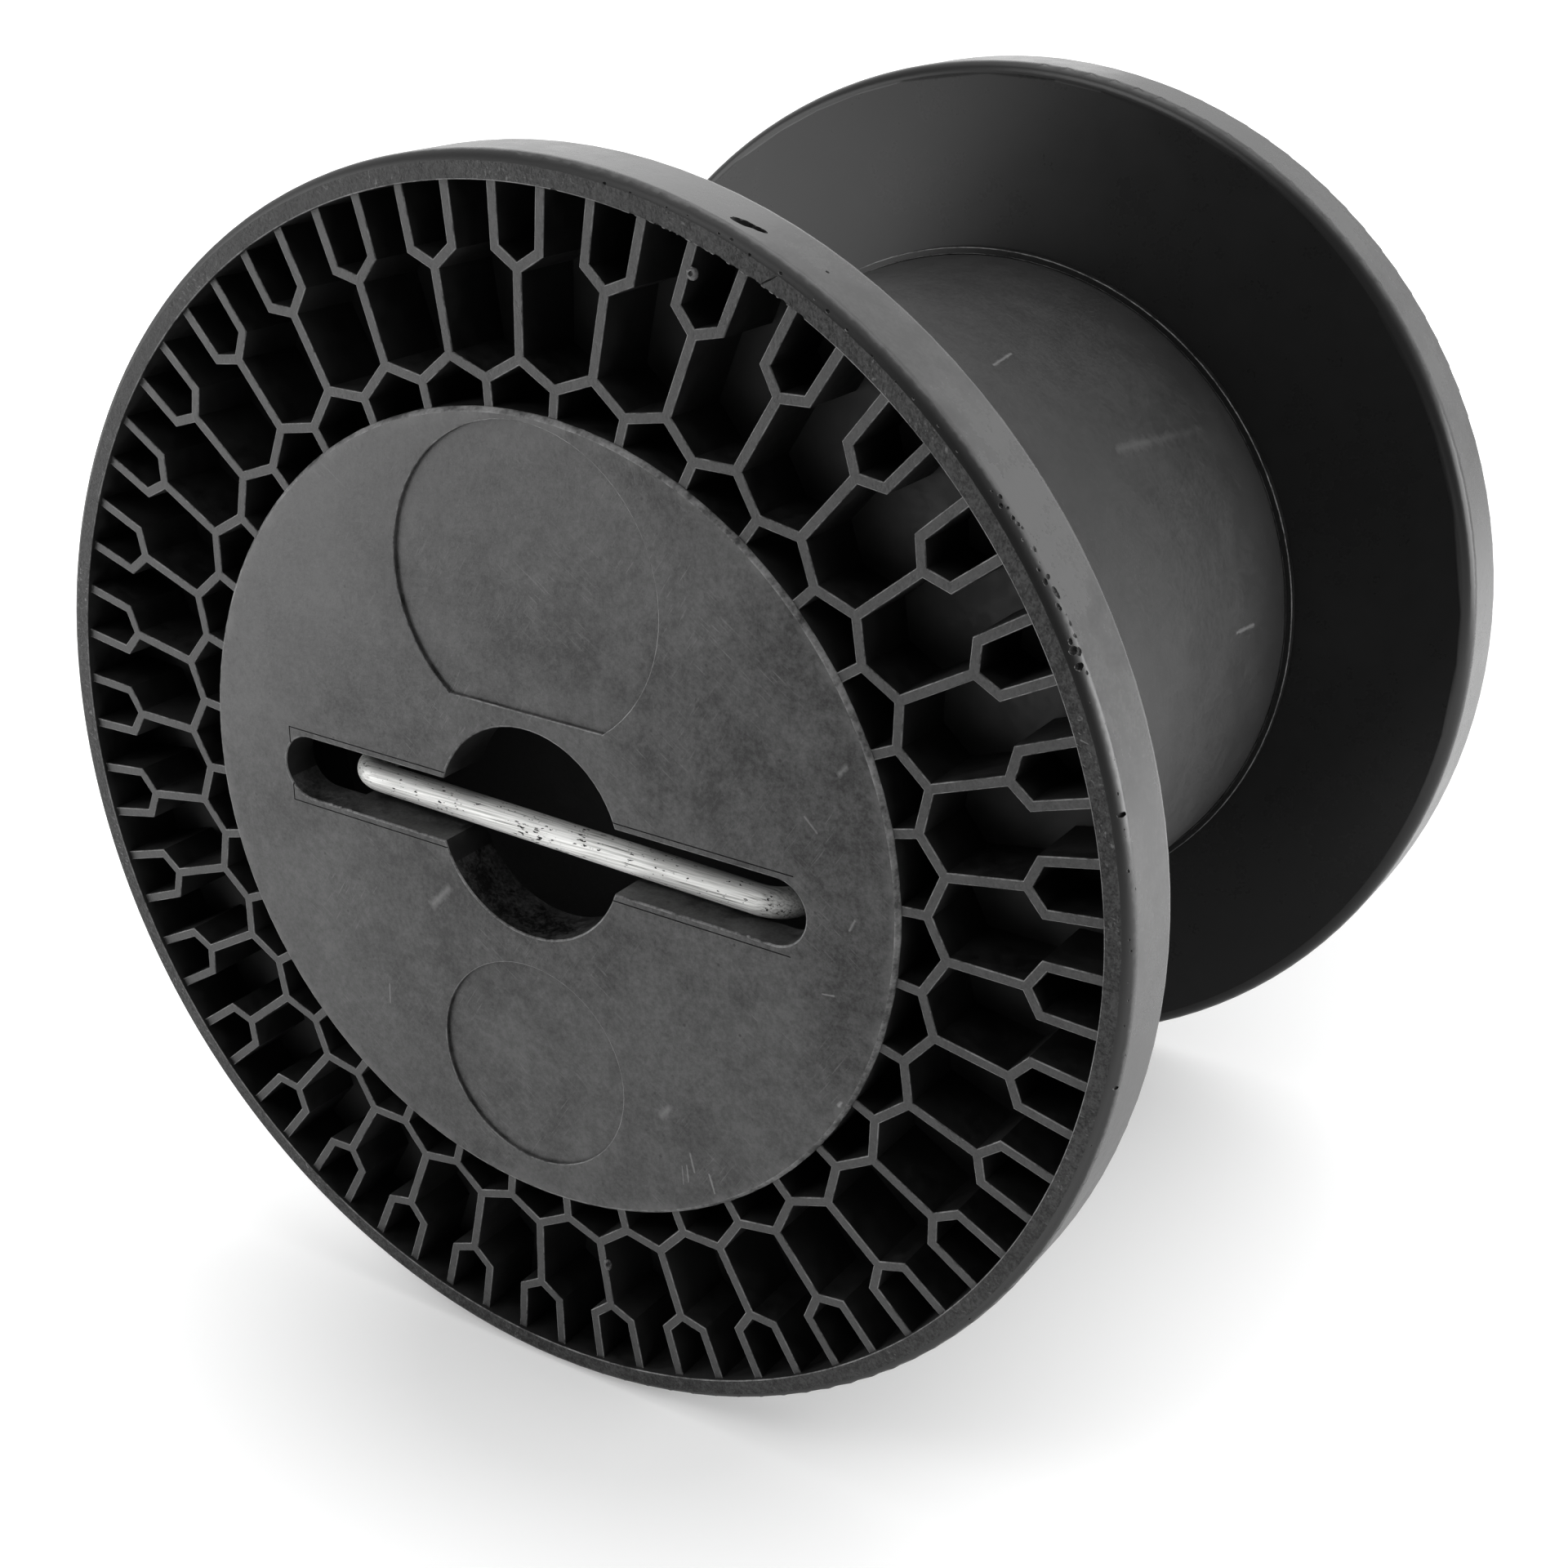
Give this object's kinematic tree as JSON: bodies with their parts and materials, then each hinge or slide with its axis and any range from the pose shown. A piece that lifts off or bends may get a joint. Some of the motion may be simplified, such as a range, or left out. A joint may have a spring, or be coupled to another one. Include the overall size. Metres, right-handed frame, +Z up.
{
  "type": "plastic wire reel",
  "caption": "Moulded plastic wire reel with honeycomb-ribbed flanges, a tubular barrel and a loose steel carry bar in a slot of its hub.",
  "frame": {"origin": "on the floor, midway between the flanges, under the turning axis", "axes": "+Z up, the reel's turning axis along Y, the flange with the carry bar faces -Y"},
  "size_m": [0.25, 0.204, 0.25],
  "materials": {
    "flange_plastic": "black moulded plastic, satin, worn grey at the edges",
    "barrel_plastic": "black moulded plastic, satin, lightly scratched",
    "steel_rod": "bright drawn steel wire with dark pits"
  },
  "bodies": {
    "reel": {"front_flange": "flange_plastic", "barrel": "barrel_plastic", "rear_flange": "flange_plastic"},
    "carry_bar": {"carry_bar": "steel_rod"}
  },
  "joints": [
    {"name": "bar_pull", "type": "slide", "parent": "reel", "child": "carry_bar", "axis": [0, -1, 0], "range_m": [0, 0.026]}
  ]
}
